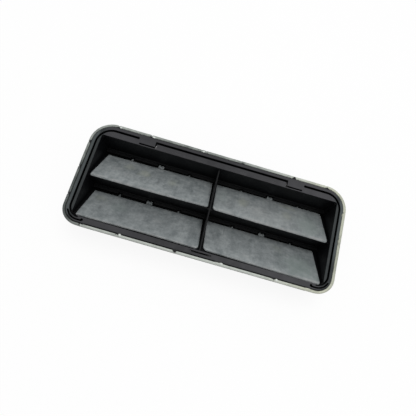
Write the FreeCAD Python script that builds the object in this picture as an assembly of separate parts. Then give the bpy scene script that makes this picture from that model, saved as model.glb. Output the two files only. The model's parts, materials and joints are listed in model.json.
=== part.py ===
import FreeCAD, Part
import math
import os

# Rear air vent of a car body: a moulded housing with four hanging rubber flaps and a soft edge seal.
# The vent lies on the rear rim of its duct, with its outer face up. Lengths are in millimetres.
# X runs along the vent, +Y points to the side where the flaps hang, +Z points out of the car body.
# The origin is on the plane of the rear rim, under the middle of the vent.

Vector = FreeCAD.Vector

# Overall sizes, over the seal
overall_width = 201.7
overall_height = 82.7
housing_depth = 34.0

# Edge seal: how far it shows round the flange, its bulb and its foot
seal_show_side = 2.85
seal_show_top = 3.2
seal_show_bottom = 1.8
seal_corner_top = 18.2
seal_corner_bottom = 12.8
seal_drop = 1.0
seal_bulb_height = 4.4
seal_bulb_round = 1.7
seal_foot_height = 3.2
seal_foot_proud = 1.2
seal_foot_wrap = 0.6
seal_foot_chamfer = 0.8

# Flange, skirt and groove
flange_corner_top = 15.0
flange_corner_bottom = 10.5
flange_band = 2.4
flange_band_top = 2.6
flange_band_bottom = 3.05
flange_round = 0.8
front_thickness = 2.0
groove_width = 1.5
groove_width_top = 1.8
groove_corner_bottom = 8.6
groove_depth = 5.0
groove_floor = 1.5
groove_wall = 1.4
groove_dot = 2.0
groove_start = 0.75

# Curved slits outside the groove's lower ends, each with a round hole at its inner end
foot_slit_band = 1.2
foot_slit_width = 1.2
foot_slit_rise = 7.3
foot_slit_end = 14.2
foot_dot = 1.9
foot_dot_rise = 2.4

# Rails along the opening and the bevel on its edge
rail_top = 4.3
rail_bottom = 4.3
ridge_width = 1.8
bevel_width_top = 2.0
bevel_drop = 0.35
bevel_taper = 7.0

# Duct
duct_wall = 1.1
duct_corner = 1.5
ceiling_draft = 1.3

# Crossbar between the rows
crossbar_thickness = 1.6
crossbar_rise = 2.6
crossbar_setback = 0.7

# Post between the left and the right flaps: it leans a little, and its middle is off centre
post_thickness = 1.2
post_offset = 0.4
post_lean = 1.7
post_front_depth = 3.0
post_foot_round = 1.4
post_edge_round = 0.4

# Seats behind the flaps
seat_thickness = 2.0
seat_land_side = 3.5
seat_land_top = 4.5
seat_land_end = 3.0
seat_rib_count = 4
seat_rib_thickness = 1.5
seat_rib_depth = 4.0

# Hinge ledges
hinge_height = 6.0
ledge_height = 3.95
ledge_thickness = 5.0
ledge_bead_width = 1.1
ledge_bead_height = 1.0

# Rubber flaps
flap_thickness = 1.4
flap_edge_depth = 2.6
flap_corner = 2.5
flap_swing = 40.0
tab_thickness = 1.2
tab_dip = 5.0
crown_width = 5.0
crown_length = 2.4
crown_notch_width = 1.8
crown_notch_depth = 0.8
crown_taper = 0.85
nub_width = 2.4
nub_length = 1.6
nub_taper = 0.7
nub_spread = 24.0

# Snap hooks and the slits in front of them
clip_width = 13.0
clip_from_side = 40.5
clip_thickness = 1.2
clip_grip = 0.7
clip_catch = 0.9
clip_length = 7.3
slit_width = 1.1
tongue_depth = 4.35
bottom_clip_width = 15.4
bottom_clip_offset = 2.3

# Claws of the flange over the seal, two of them whole and the rest worn down to stubs
claw_width = 3.0
claw_tip = 0.9
claw_length = 1.7
claw_stub = 0.7
claw_thickness = 0.9
claw_from_middle = 15.4
claw_from_side = 15.4
claw_beside_clip = 1.2
claw_from_bottom = 18.35
claw_from_top = 16.65
claw_above_middle = 1.5

# Clearances
seat_gap = 0.2
hinge_gap = 0.3
pocket_gap = 0.5
pocket_side_gap = 0.6
flap_side_gap = 2.2
flap_post_gap_left = 1.45
flap_post_gap_right = 0.85
flap_end_gap = 0.1

# Joins: how far one form reaches into the next, and how far a cut runs past a face
join = 0.8
cut_past = 1.0
same_height = 0.000001


# Basic shapes
def bar(x_low, x_high, y_low, y_high, z_low, z_high):
    corner = Vector(x_low, y_low, z_low)
    return Part.makeBox(x_high - x_low, y_high - y_low, z_high - z_low, corner)


def prism(points, x_low, x_high):
    corners = [Vector(x_low, y, z) for y, z in points]
    face = Part.Face(Part.makePolygon(corners + corners[:1]))
    return face.extrude(Vector(x_high - x_low, 0, 0))


def upright(points, z_low, z_high):
    corners = [Vector(x, y, z_low) for x, y in points]
    face = Part.Face(Part.makePolygon(corners + corners[:1]))
    return face.extrude(Vector(0, 0, z_high - z_low))


def polyhedron(faces):
    flat = [Part.Face(Part.makePolygon(corners + corners[:1])) for corners in faces]
    return Part.Solid(Part.Shell(flat))


class Outline:
    """A rectangle with rounded corners, seen from the front."""

    def __init__(self, left, right, bottom, top, corner_bottom, corner_top):
        self.left = left
        self.right = right
        self.bottom = bottom
        self.top = top
        self.corner_bottom = corner_bottom
        self.corner_top = corner_top

    def inset(self, distance):
        return Outline(
            self.left + distance,
            self.right - distance,
            self.bottom + distance,
            self.top - distance,
            self.corner_bottom - distance,
            self.corner_top - distance,
        )

    def corner(self, x, y, radius, x_side, y_side):
        centre = Vector(x - x_side * radius, y - y_side * radius, 0)
        on_x = centre + Vector(x_side * radius, 0, 0)
        on_y = centre + Vector(0, y_side * radius, 0)
        half = math.sqrt(0.5) * radius
        middle = centre + Vector(x_side * half, y_side * half, 0)
        return on_x, middle, on_y

    def block(self, z_low, z_high):
        low_right, middle_1, right_low = self.corner(self.right, self.bottom, self.corner_bottom, 1, -1)[::-1]
        right_high, middle_2, high_right = self.corner(self.right, self.top, self.corner_top, 1, 1)
        high_left, middle_3, left_high = self.corner(self.left, self.top, self.corner_top, -1, 1)[::-1]
        left_low, middle_4, low_left = self.corner(self.left, self.bottom, self.corner_bottom, -1, -1)
        edges = [
            Part.Arc(low_right, middle_1, right_low).toShape(),
            Part.LineSegment(right_low, right_high).toShape(),
            Part.Arc(right_high, middle_2, high_right).toShape(),
            Part.LineSegment(high_right, high_left).toShape(),
            Part.Arc(high_left, middle_3, left_high).toShape(),
            Part.LineSegment(left_high, left_low).toShape(),
            Part.Arc(left_low, middle_4, low_left).toShape(),
            Part.LineSegment(low_left, low_right).toShape(),
        ]
        face = Part.Face(Part.Wire(edges))
        face.translate(Vector(0, 0, z_low))
        return face.extrude(Vector(0, 0, z_high - z_low))


def ring(outer, inner, z_low, z_high):
    return outer.block(z_low, z_high).cut(inner.block(z_low - cut_past, z_high + cut_past))


def level_edges(shape, height):
    return [e for e in shape.Edges if all(abs(v.Z - height) < same_height for v in e.Vertexes)]


def joined(pieces):
    return pieces[0].fuse(pieces[1:]).removeSplitter()


# Outlines from the outside in
seal_outline = Outline(
    -overall_width / 2,
    overall_width / 2,
    -overall_height / 2,
    overall_height / 2,
    seal_corner_bottom,
    seal_corner_top,
)
flange_outline = Outline(
    seal_outline.left + seal_show_side,
    seal_outline.right - seal_show_side,
    seal_outline.bottom + seal_show_bottom,
    seal_outline.top - seal_show_top,
    flange_corner_bottom,
    flange_corner_top,
)
flange_middle = (flange_outline.bottom + flange_outline.top) / 2
groove_outer = Outline(
    flange_outline.left + flange_band,
    flange_outline.right - flange_band,
    flange_outline.bottom + flange_band_bottom,
    flange_outline.top - flange_band_top,
    groove_corner_bottom,
    flange_corner_top - flange_band,
)
groove_inner = Outline(
    groove_outer.left + groove_width,
    groove_outer.right - groove_width,
    groove_outer.bottom + groove_width,
    groove_outer.top - groove_width_top,
    groove_outer.corner_bottom - groove_width,
    groove_outer.corner_top - groove_width_top,
)
groove_lining = groove_inner.inset(groove_wall)
foot_slit_outer = flange_outline.inset(foot_slit_band)
foot_slit_inner = foot_slit_outer.inset(foot_slit_width)

# Opening in the front
opening_left = groove_inner.left + ridge_width
opening_right = groove_inner.right - ridge_width
opening_top = groove_inner.top - rail_top
opening_bottom = flange_outline.bottom + rail_bottom

# Duct behind the opening
ceiling_y = opening_top + ceiling_draft
duct_inside = Outline(opening_left, opening_right, opening_bottom, ceiling_y, duct_corner, duct_corner)
duct_outside = duct_inside.inset(-duct_wall)
front_opening = Outline(opening_left, opening_right, opening_bottom, opening_top, duct_corner, duct_corner)

# Rows: the lower ceiling ends crossbar_rise above the upper row's lip
row_height = (ceiling_y - opening_bottom + crossbar_rise) / 2
row_pitch = row_height - crossbar_rise

# Places measured from the flange's ends
clip_x = flange_outline.right - clip_from_side
groove_start_x = clip_x + clip_width / 2 + groove_start
foot_slit_end_x = flange_outline.right - foot_slit_end
foot_slit_top_y = flange_outline.bottom + foot_slit_rise
claw_places_x = (claw_from_middle, clip_x - claw_beside_clip, flange_outline.right - claw_from_side)
claw_places_y = (
    flange_outline.bottom + claw_from_bottom,
    flange_middle + claw_above_middle,
    flange_outline.top - claw_from_top,
)

# Heights
front_z = housing_depth
skirt_z = front_z - groove_depth - groove_floor
edge_z = front_z - flap_edge_depth
ledge_z = hinge_height + flap_thickness / 2
post_z = front_z - post_front_depth

# Post and hinge tabs
def post_middle(y):
    return post_offset - math.tan(math.radians(post_lean)) * y


tab_middles = {"left": opening_left / 2, "right": opening_right / 2}


class Row:
    """One row of flaps in section: its hinge axis, its tilt and lines along the closed flap."""

    def __init__(self, lip_y):
        self.lip_y = lip_y
        self.ceiling_y = lip_y + row_height
        self.hinge_y = self.ceiling_y - ledge_height
        self.end_y = lip_y + flap_end_gap + flap_thickness / 2
        run = self.hinge_y - self.end_y
        rise = edge_z - hinge_height
        self.tilt = math.atan2(rise, run)
        self.length = math.hypot(run, rise)
        middle = post_middle((lip_y + self.ceiling_y) / 2)
        self.spans = {
            "left": (opening_left + flap_side_gap, middle - post_thickness / 2 - flap_post_gap_left),
            "right": (middle + post_thickness / 2 + flap_post_gap_right, opening_right - flap_side_gap),
        }

    def at(self, along, out):
        y = self.hinge_y - along * math.cos(self.tilt) + out * math.sin(self.tilt)
        z = hinge_height + along * math.sin(self.tilt) + out * math.cos(self.tilt)
        return y, z

    def height_at(self, y, out):
        start_y, start_z = self.at(0, out)
        return start_z + (start_y - y) * math.tan(self.tilt)


lower_row = Row(opening_bottom)
upper_row = Row(opening_bottom + row_pitch)
rows = {"upper": upper_row, "lower": lower_row}

# The land that a closed flap rests over, and the back of the seat, measured out from the flap's middle plane
land_out = -flap_thickness / 2 - seat_gap
seat_back_out = land_out - seat_thickness


# Front of the housing
def flange_ring():
    outside = flange_outline.block(skirt_z, front_z)
    rounded = outside.makeFillet(flange_round, level_edges(outside, front_z))
    return rounded.cut(groove_outer.block(skirt_z - cut_past, front_z + cut_past))


def front_plate():
    plate = groove_outer.inset(-join).block(front_z - front_thickness, front_z)
    return plate.cut(front_opening.block(front_z - front_thickness - cut_past, front_z + cut_past))


def beyond(side, from_x, y_low, y_high):
    """Everything farther out than from_x on one side of the vent."""
    far_x = side * (overall_width / 2)
    low_x = min(side * from_x, far_x)
    high_x = max(side * from_x, far_x)
    return bar(low_x, high_x, y_low, y_high, skirt_z - cut_past, front_z + cut_past)


def groove_zones():
    """Where the groove runs: down both sides to the opening's lower corners, and between the two tongues."""
    low_y = groove_outer.bottom - cut_past
    high_y = flange_outline.top + cut_past
    corner_x = groove_outer.right - groove_outer.corner_bottom
    zones = []
    for side in (-1, 1):
        zones.append(beyond(side, groove_start_x + groove_dot / 2, flange_middle, high_y))
        zones.append(beyond(side, corner_x, low_y, flange_middle))
    middle_x = clip_x - clip_width / 2
    zones.append(bar(-middle_x, middle_x, flange_middle, high_y, skirt_z - cut_past, front_z + cut_past))
    return zones


def groove_cut():
    floor_z = front_z - groove_depth
    high_z = front_z + cut_past
    whole = ring(groove_outer, groove_inner, floor_z, high_z)
    slit = ring(foot_slit_outer, foot_slit_inner, floor_z, high_z)
    cuts = [whole.common(zone) for zone in groove_zones()]
    low_y = flange_outline.bottom - cut_past
    top_y = (groove_outer.top + groove_inner.top) / 2
    bottom_y = flange_outline.bottom + foot_dot_rise
    for side in (-1, 1):
        cuts.append(slit.common(beyond(side, foot_slit_end_x, low_y, foot_slit_top_y)))
        top_x = side * (groove_start_x + groove_dot / 2)
        end_x = side * foot_slit_end_x
        for x, y, radius in ((top_x, top_y, groove_dot / 2), (end_x, bottom_y, foot_dot / 2)):
            cuts.append(Part.makeCylinder(radius, groove_depth + cut_past, Vector(x, y, floor_z)))
    return cuts


def groove_channel():
    """Floor and inner wall that carry the groove behind the front."""
    high_z = front_z - front_thickness + join
    channel = ring(groove_outer.inset(-join), groove_lining, skirt_z, high_z)
    return channel.cut(duct_inside.block(skirt_z - cut_past, high_z + cut_past))


def bevel_cut():
    """Slope on the opening's edge at both sides and the top, tapering to a point at the lower corners."""
    low_z = front_z - bevel_drop
    out_left = opening_left - ridge_width
    out_right = opening_right + ridge_width
    out_top = opening_top + bevel_width_top
    end_y = opening_bottom + bevel_taper
    front = [
        Vector(out_left, end_y, front_z),
        Vector(out_right, end_y, front_z),
        Vector(out_right, out_top, front_z),
        Vector(out_left, out_top, front_z),
    ]
    deep = [
        Vector(opening_left, end_y, low_z),
        Vector(opening_right, end_y, low_z),
        Vector(opening_right, opening_top, low_z),
        Vector(opening_left, opening_top, low_z),
    ]
    sides = [[front[i], front[(i + 1) % 4], deep[(i + 1) % 4], deep[i]] for i in range(4)]
    pieces = [polyhedron([front, deep] + sides)]
    for out_x, in_x in ((out_left, opening_left), (out_right, opening_right)):
        a = Vector(out_x, end_y, front_z)
        b = Vector(in_x, end_y, front_z)
        c = Vector(in_x, end_y, low_z)
        tip = Vector(in_x, opening_bottom, front_z)
        pieces.append(polyhedron([[a, b, c], [a, b, tip], [b, c, tip], [c, a, tip]]))
    return pieces


def slit_cuts():
    """L-shaped slits that free the two tongues at the top, and the straight slit at the bottom."""
    low_z = skirt_z - cut_past
    high_z = front_z + cut_past
    foot_y = groove_outer.top - tongue_depth
    cuts = []
    for side in (-1, 1):
        inner_x = side * (clip_x - clip_width / 2)
        outer_x = side * (clip_x + clip_width / 2)
        freed_x = inner_x + side * slit_width
        low_x = min(inner_x, outer_x)
        high_x = max(inner_x, outer_x)
        cuts.append(bar(low_x, high_x, foot_y - slit_width, foot_y, low_z, high_z))
        side_x = sorted((inner_x, freed_x))
        cuts.append(bar(side_x[0], side_x[1], foot_y - slit_width, groove_outer.top, low_z, high_z))
    half = bottom_clip_width / 2
    wall_y = opening_bottom - duct_wall
    cuts.append(
        bar(bottom_clip_offset - half, bottom_clip_offset + half, wall_y - slit_width, wall_y, low_z, high_z)
    )
    return cuts


def claw(x, y, turn, length):
    """Pointed tooth whose root is at (x, y); turn is the way it points, 0 along +X."""
    half = claw_width / 2
    tip = claw_tip / 2
    points = [(-join, -half), (0, -half), (length, -tip), (length, tip), (0, half), (-join, half)]
    tooth = upright(points, front_z - claw_thickness, front_z)
    tooth.rotate(Vector(0, 0, 0), Vector(0, 0, 1), turn)
    tooth.translate(Vector(x, y, 0))
    return tooth


def claws():
    pieces = []
    for place in claw_places_x:
        for x in (-place, place):
            top_length = claw_length if x == claw_places_x[1] else claw_stub
            bottom_length = claw_length if x == -claw_places_x[0] else claw_stub
            pieces.append(claw(x, flange_outline.top, 90, top_length))
            pieces.append(claw(x, flange_outline.bottom, 270, bottom_length))
    for y in claw_places_y:
        pieces.append(claw(flange_outline.left, y, 180, claw_stub))
        pieces.append(claw(flange_outline.right, y, 0, claw_stub))
    return pieces


# Snap hooks
def snap_hook(root_y, side, middle_x, width, root_z):
    """Arm behind the front with a sloped catch on its outer side; side is +1 at the top, -1 at the bottom."""
    catch_z = skirt_z - seal_foot_height - clip_grip
    end_z = catch_z - clip_length
    inner = root_y - side * clip_thickness
    tip = root_y + side * clip_catch
    points = [
        (inner, root_z),
        (root_y, root_z),
        (root_y, catch_z),
        (tip, catch_z - clip_catch / 3),
        (tip, catch_z - clip_catch),
        (root_y, end_z),
        (inner, end_z),
    ]
    return prism(points, middle_x - width / 2, middle_x + width / 2)


def snap_hooks():
    half = clip_width / 2 - slit_width
    pieces = []
    for side in (-1, 1):
        middle_x = side * (clip_x + slit_width / 2)
        pieces.append(snap_hook(groove_inner.top, 1, middle_x, 2 * half, front_z - front_thickness / 2))
    root_y = opening_bottom - duct_wall - slit_width - clip_thickness
    width = bottom_clip_width - 2 * slit_width
    pieces.append(snap_hook(root_y, -1, bottom_clip_offset, width, front_z - front_thickness / 2))
    return pieces


# Duct, crossbar and post
def duct():
    tube = duct_outside.block(0, front_z - front_thickness + join)
    return tube.cut(duct_inside.block(-cut_past, front_z + cut_past))


def upper_ceiling():
    high_z = front_z - front_thickness / 2
    back_y = ceiling_y + join
    points = [(opening_top, high_z), (ceiling_y, ledge_z), (back_y, ledge_z), (back_y, high_z)]
    return prism(points, opening_left - join, opening_right + join)


def crossbar():
    edge_y = upper_row.lip_y + crossbar_setback
    deep_y = lower_row.ceiling_y
    points = [
        (edge_y, upper_row.height_at(edge_y, land_out)),
        (deep_y, ledge_z),
        (deep_y, 0),
        (deep_y + crossbar_thickness, 0),
        (deep_y + crossbar_thickness, ledge_z),
        (edge_y + crossbar_thickness, upper_row.height_at(edge_y + crossbar_thickness, land_out)),
    ]
    return prism(points, opening_left - join, opening_right + join)


def post():
    low_y = opening_bottom - join
    high_y = ceiling_y + join
    half = post_thickness / 2
    low_x = post_middle(low_y)
    high_x = post_middle(high_y)
    points = [(low_x - half, low_y), (low_x + half, low_y), (high_x + half, high_y), (high_x - half, high_y)]
    plate = upright(points, 0, post_z)
    return plate.makeFillet(post_edge_round, level_edges(plate, post_z))


def post_feet():
    """Fillets where the post stands on the lower rail and on the crossbar."""
    pieces = []
    radius = post_foot_round
    for row in (lower_row, upper_row):
        if row is lower_row:
            foot_y = opening_bottom
        else:
            foot_y = row.lip_y + crossbar_setback
        low_z = row.height_at(foot_y, seat_back_out)
        high_z = post_z - post_edge_round
        middle_x = post_middle(foot_y + radius)
        for side in (-1, 1):
            face_x = middle_x + side * post_thickness / 2
            points = [
                (face_x - side * join / 2, foot_y - join / 2),
                (face_x + side * radius, foot_y - join / 2),
                (face_x + side * radius, foot_y),
                (face_x, foot_y + radius),
                (face_x - side * join / 2, foot_y + radius),
            ]
            block = upright(points, low_z, high_z)
            centre = Vector(face_x + side * radius, foot_y + radius, low_z - cut_past)
            hollow = Part.makeCylinder(radius, high_z - low_z + 2 * cut_past, centre)
            pieces.append(block.cut(hollow))
    return pieces


# Seats and hinge ledges
def seat(row):
    if row is lower_row:
        end_y = row.lip_y - join
    else:
        end_y = row.lip_y + crossbar_setback
    top_along = -(ledge_thickness - flap_thickness) / math.sin(row.tilt) / 2
    points = [
        row.at(top_along, land_out),
        (end_y, row.height_at(end_y, land_out)),
        (end_y, row.height_at(end_y, seat_back_out)),
        row.at(top_along, seat_back_out),
    ]
    slab = prism(points, opening_left - join, opening_right + join)
    ribs = []
    for x_low, x_high in row.spans.values():
        low_x = x_low + seat_land_side
        high_x = x_high - seat_land_side
        start = seat_land_top
        end = row.length - seat_land_end
        window = [
            row.at(start, land_out + cut_past),
            row.at(end, land_out + cut_past),
            row.at(end, seat_back_out - cut_past),
            row.at(start, seat_back_out - cut_past),
        ]
        slab = slab.cut(prism(window, low_x, high_x))
        rib = [
            row.at(start - join, land_out),
            row.at(end + join, land_out),
            row.at(end + join, land_out - seat_thickness),
            row.at(end - seat_rib_depth, land_out - seat_rib_depth),
            row.at(start + seat_rib_depth, land_out - seat_rib_depth),
            row.at(start - join, land_out - seat_thickness),
        ]
        pitch = (high_x - low_x) / (seat_rib_count + 1)
        for number in range(1, seat_rib_count + 1):
            middle = low_x + number * pitch
            ribs.append(prism(rib, middle - seat_rib_thickness / 2, middle + seat_rib_thickness / 2))
    return [slab] + ribs


def ledge(row):
    low_y = row.hinge_y + flap_thickness / 2 + hinge_gap
    back_y = row.ceiling_y + join
    plate = bar(opening_left - join, opening_right + join, low_y, back_y, ledge_z - ledge_thickness, ledge_z)
    bead_y = row.ceiling_y - ledge_bead_width
    bead_z = ledge_z + ledge_bead_height
    bead = [
        (bead_y, ledge_z - join),
        (bead_y, bead_z - ledge_bead_height / 2),
        (bead_y + ledge_bead_height / 2, bead_z),
        (back_y, bead_z),
        (back_y, ledge_z - join),
    ]
    return [plate, prism(bead, opening_left - join, opening_right + join)]


def tabs_of(side):
    """Middle, width and length of each hinge tab of a flap."""
    middle = tab_middles[side]
    return [
        (middle, crown_width, crown_length),
        (middle - nub_spread, nub_width, nub_length),
        (middle + nub_spread, nub_width, nub_length),
    ]


def hinge_pockets(row):
    cuts = []
    for side in row.spans:
        for middle, width, length in tabs_of(side):
            half = width / 2 + pocket_side_gap
            reach = length + pocket_gap
            low_y = row.hinge_y
            high_y = row.hinge_y + reach
            low_z = hinge_height - reach
            high_z = ledge_z + ledge_bead_height + cut_past
            cuts.append(bar(middle - half, middle + half, low_y, high_y, low_z, high_z))
    return cuts


def housing():
    front = joined([flange_ring(), front_plate(), groove_channel(), duct(), upper_ceiling()])
    front = front.cut(groove_cut() + bevel_cut() + slit_cuts())
    inner = [crossbar(), post()] + post_feet()
    for row in rows.values():
        carried = joined(seat(row) + ledge(row))
        inner.append(carried.cut(hinge_pockets(row)))
    return joined([front] + inner + snap_hooks() + claws())


# Seal round the flange
def seal():
    top_z = front_z - seal_drop
    bulb_low = top_z - seal_bulb_height
    foot_low = skirt_z - seal_foot_height
    bulb = seal_outline.block(bulb_low, top_z)
    rims = level_edges(bulb, top_z) + level_edges(bulb, bulb_low)
    bulb = bulb.makeFillet(seal_bulb_round, rims)
    foot = flange_outline.inset(-seal_foot_proud).block(foot_low, bulb_low + join)
    whole = joined([bulb, foot])
    whole = whole.cut(flange_outline.block(skirt_z, front_z + cut_past))
    whole = whole.cut(flange_outline.inset(seal_foot_wrap).block(foot_low - cut_past, front_z + cut_past))
    slope_high = foot_low + seal_foot_chamfer
    slope = flange_outline.inset(seal_foot_wrap - seal_foot_chamfer).block(foot_low - cut_past, slope_high)
    return whole.cut(slope.makeChamfer(seal_foot_chamfer, level_edges(slope, slope_high)))


# Flaps
def crown(length):
    half = crown_width / 2
    notch = crown_notch_width / 2
    return [
        (-half, 0),
        (half, 0),
        (half * crown_taper, length),
        (notch, length),
        (0, length - crown_notch_depth),
        (-notch, length),
        (-half * crown_taper, length),
    ]


def nub(length):
    half = nub_width / 2
    return [(-half, 0), (half, 0), (half * nub_taper, length), (-half * nub_taper, length)]


def flap(row, side):
    """Made flat, hanging down from the hinge axis, then tilted onto its seat."""
    left, right = row.spans[side]
    half = flap_thickness / 2
    sheet = Outline(left, right, -row.length, flap_corner, flap_corner, flap_corner).block(-half, half)
    above = bar(left - cut_past, right + cut_past, 0, flap_corner + cut_past, -half - cut_past, half + cut_past)
    sheet = sheet.cut(above)
    edge = Part.makeCylinder(half, right - left, Vector(left, 0, 0), Vector(1, 0, 0))
    pieces = [sheet, edge]
    for middle, width, length in tabs_of(side):
        if width == crown_width:
            outline = crown(length)
        else:
            outline = nub(length)
        points = [(middle + x, y) for x, y in outline]
        tab = upright(points, -tab_thickness / 2, tab_thickness / 2)
        tab.rotate(Vector(0, 0, 0), Vector(1, 0, 0), math.degrees(row.tilt) - tab_dip)
        pieces.append(tab)
    whole = joined(pieces)
    whole.rotate(Vector(0, 0, 0), Vector(1, 0, 0), -math.degrees(row.tilt))
    whole.translate(Vector(0, row.hinge_y, hinge_height))
    return whole


pieces = {"housing": housing(), "seal": seal()}
for row_name, row in rows.items():
    for side in row.spans:
        pieces["flap_" + row_name + "_" + side] = flap(row, side)

os.makedirs("parts", exist_ok=True)
for name, shape in pieces.items():
    if len(shape.Solids) != 1 or not shape.isValid():
        raise ValueError(name + " is not one valid solid")
    shape.Solids[0].exportStep("parts/" + name + ".step")
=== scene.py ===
import functools
import json
import math
from types import SimpleNamespace

import bmesh
import bpy
from mathutils import Matrix, Vector


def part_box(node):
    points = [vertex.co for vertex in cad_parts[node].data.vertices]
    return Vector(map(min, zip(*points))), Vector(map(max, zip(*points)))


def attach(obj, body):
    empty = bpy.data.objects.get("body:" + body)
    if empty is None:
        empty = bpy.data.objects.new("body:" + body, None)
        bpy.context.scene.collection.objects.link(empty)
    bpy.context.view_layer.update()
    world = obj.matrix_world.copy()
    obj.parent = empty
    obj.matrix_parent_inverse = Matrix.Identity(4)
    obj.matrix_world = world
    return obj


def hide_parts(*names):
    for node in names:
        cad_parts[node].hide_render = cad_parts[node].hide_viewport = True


bl_info = {
    "name": "Rear air vent",
    "version": (1, 0, 0),
    "blender": (4, 5, 0),
    "location": "View3D > Sidebar > Rear air vent",
    "description": "Dresses a car's rear air vent: plastic housing, rubber flaps and an aged edge seal",
    "category": "Object",
}

MM = 0.001

# Noise scales, in waves per metre
SPECK_SCALE = 1400.0
RUB_SCALE = 220.0
PATCH_EDGE_SCALE = 190.0
STREAK_SCALE = 620.0
GRIT_SCALE = 1100.0
RIM_PATCH_SCALE = 150.0
FLOOR_SCALE = 3.0
SEAL_WAVE_SCALE = 70.0
SEAL_DIP_SCALE = 160.0

# The finer of the two sizes in a stain: how many times finer, and its share
FINER = 5.3
FINE_SHARE = 0.28

# How ragged a soft patch is, and where in its reach it fades
PATCH_RAGGED = 1.5
PATCH_FADE = (0.1, 1.1)

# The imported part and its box, before anything is made
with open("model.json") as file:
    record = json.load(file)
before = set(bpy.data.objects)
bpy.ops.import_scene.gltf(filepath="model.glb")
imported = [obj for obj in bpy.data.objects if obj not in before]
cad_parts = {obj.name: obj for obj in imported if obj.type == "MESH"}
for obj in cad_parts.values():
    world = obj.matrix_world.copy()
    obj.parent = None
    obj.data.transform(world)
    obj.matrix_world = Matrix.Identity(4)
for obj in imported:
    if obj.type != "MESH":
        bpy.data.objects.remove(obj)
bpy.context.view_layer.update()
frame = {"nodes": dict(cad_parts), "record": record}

# Places taken over from the part, in millimetres
FLANGE_LEFT = -98.0
FLANGE_RIGHT = 98.0
FLANGE_BOTTOM = -39.55
FLANGE_TOP = 38.15
FLANGE_CORNER_BOTTOM = 10.5
FLANGE_CORNER_TOP = 15.0
FLAP_TILT = math.radians(40.682)
FLAP_LENGTH = 38.966
TAB_DIP = math.radians(5.0)
TAB_MIDDLE = 46.15
NUB_SPREAD = 24.0
HINGES = {joint["child"]: Vector(joint["pos_m"]) for joint in frame["record"]["behaviour"]["joints"]}


# Node trees
class Nodes:
    """Adds nodes to a tree and links them by socket name."""

    def __init__(self, tree):
        self.tree = tree

    def add(self, kind, inputs=None, **settings):
        node = self.tree.nodes.new(kind)
        for key, value in settings.items():
            setattr(node, key, value)
        for key, value in (inputs or {}).items():
            socket = node.inputs[key]
            if isinstance(value, bpy.types.NodeSocket):
                self.tree.links.new(value, socket)
            else:
                socket.default_value = value
        return node

    def math(self, operation, *values, clamp=False):
        node = self.add("ShaderNodeMath", dict(enumerate(values)), operation=operation, use_clamp=clamp)
        return node.outputs[0]

    def plus(self, first, second, clamp=False):
        return self.math("ADD", first, second, clamp=clamp)

    def minus(self, first, second):
        return self.math("SUBTRACT", first, second)

    def times(self, first, second, clamp=False):
        return self.math("MULTIPLY", first, second, clamp=clamp)

    def unsigned(self, value):
        return self.math("ABSOLUTE", value)

    def larger(self, first, second):
        return self.math("MAXIMUM", first, second)

    def product(self, *values):
        return functools.reduce(self.times, values)

    def split(self, vector):
        return self.add("ShaderNodeSeparateXYZ", {0: vector}).outputs

    def length(self, vector):
        return self.add("ShaderNodeVectorMath", {0: vector}, operation="LENGTH").outputs["Value"]

    def vector(self, operation, *values):
        node = self.add("ShaderNodeVectorMath", dict(enumerate(values)), operation=operation)
        return node.outputs["Vector"]

    def scaled(self, vector, factor):
        node = self.add("ShaderNodeVectorMath", {0: vector, "Scale": factor}, operation="SCALE")
        return node.outputs["Vector"]

    def remap(self, value, low, high, to_low=0.0, to_high=1.0, smooth=True):
        kind = "SMOOTHSTEP" if smooth else "LINEAR"
        inputs = {"Value": value, "From Min": low, "From Max": high, "To Min": to_low, "To Max": to_high}
        return self.add("ShaderNodeMapRange", inputs, interpolation_type=kind).outputs["Result"]

    def fade(self, value, band, to_low=0.0, to_high=1.0):
        """Goes from one level to the other over a band given in millimetres."""
        return self.remap(value, band[0] * MM, band[1] * MM, to_low, to_high)

    def noise(self, vector, scale, detail=3.0, roughness=0.55, distortion=0.0):
        inputs = {
            "Vector": vector, "Scale": scale, "Detail": detail, "Roughness": roughness, "Distortion": distortion
        }
        return self.add("ShaderNodeTexNoise", inputs).outputs["Fac"]

    def mix(self, factor, *colours):
        """Mixes two colours, each a socket or three numbers."""
        first, second = (value if isinstance(value, bpy.types.NodeSocket) else (*value, 1.0) for value in colours)
        inputs = {0: factor, 6: first, 7: second}
        return self.add("ShaderNodeMix", inputs, data_type="RGBA", blend_type="MIX").outputs[2]


def group_tree(name, result, inputs):
    """Shader group with one number as its result; an input without a default is a vector."""
    tree = bpy.data.node_groups.new(name, "ShaderNodeTree")
    for label, default in inputs.items():
        kind = "NodeSocketVector" if default is None else "NodeSocketFloat"
        socket = tree.interface.new_socket(label, in_out="INPUT", socket_type=kind)
        if default is not None:
            socket.default_value = default
    tree.interface.new_socket(result, in_out="OUTPUT", socket_type="NodeSocketFloat")
    nodes = Nodes(tree)
    return tree, nodes, nodes.add("NodeGroupInput").outputs, nodes.add("NodeGroupOutput").inputs[result]


def blotches_group():
    """Soft irregular patches: a mask between 0 and 1 from two sizes of noise."""
    inputs = {"Vector": None, "Size": 0.02, "Cover": 0.5, "Softness": 0.15}
    tree, nodes, given, result = group_tree("Blotches", "Mask", inputs)
    scale = nodes.math("DIVIDE", 1.0, given["Size"])
    broad = nodes.noise(given["Vector"], scale, 4.0, 0.6, 0.4)
    fine = nodes.noise(given["Vector"], nodes.times(scale, FINER), 3.0, 0.6)
    both = nodes.plus(nodes.times(broad, 1 - FINE_SHARE), nodes.times(fine, FINE_SHARE))
    edge = nodes.minus(1.0, given["Cover"])
    low = nodes.minus(edge, given["Softness"])
    high = nodes.plus(edge, given["Softness"])
    tree.links.new(nodes.remap(both, low, high), result)
    return tree


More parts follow.
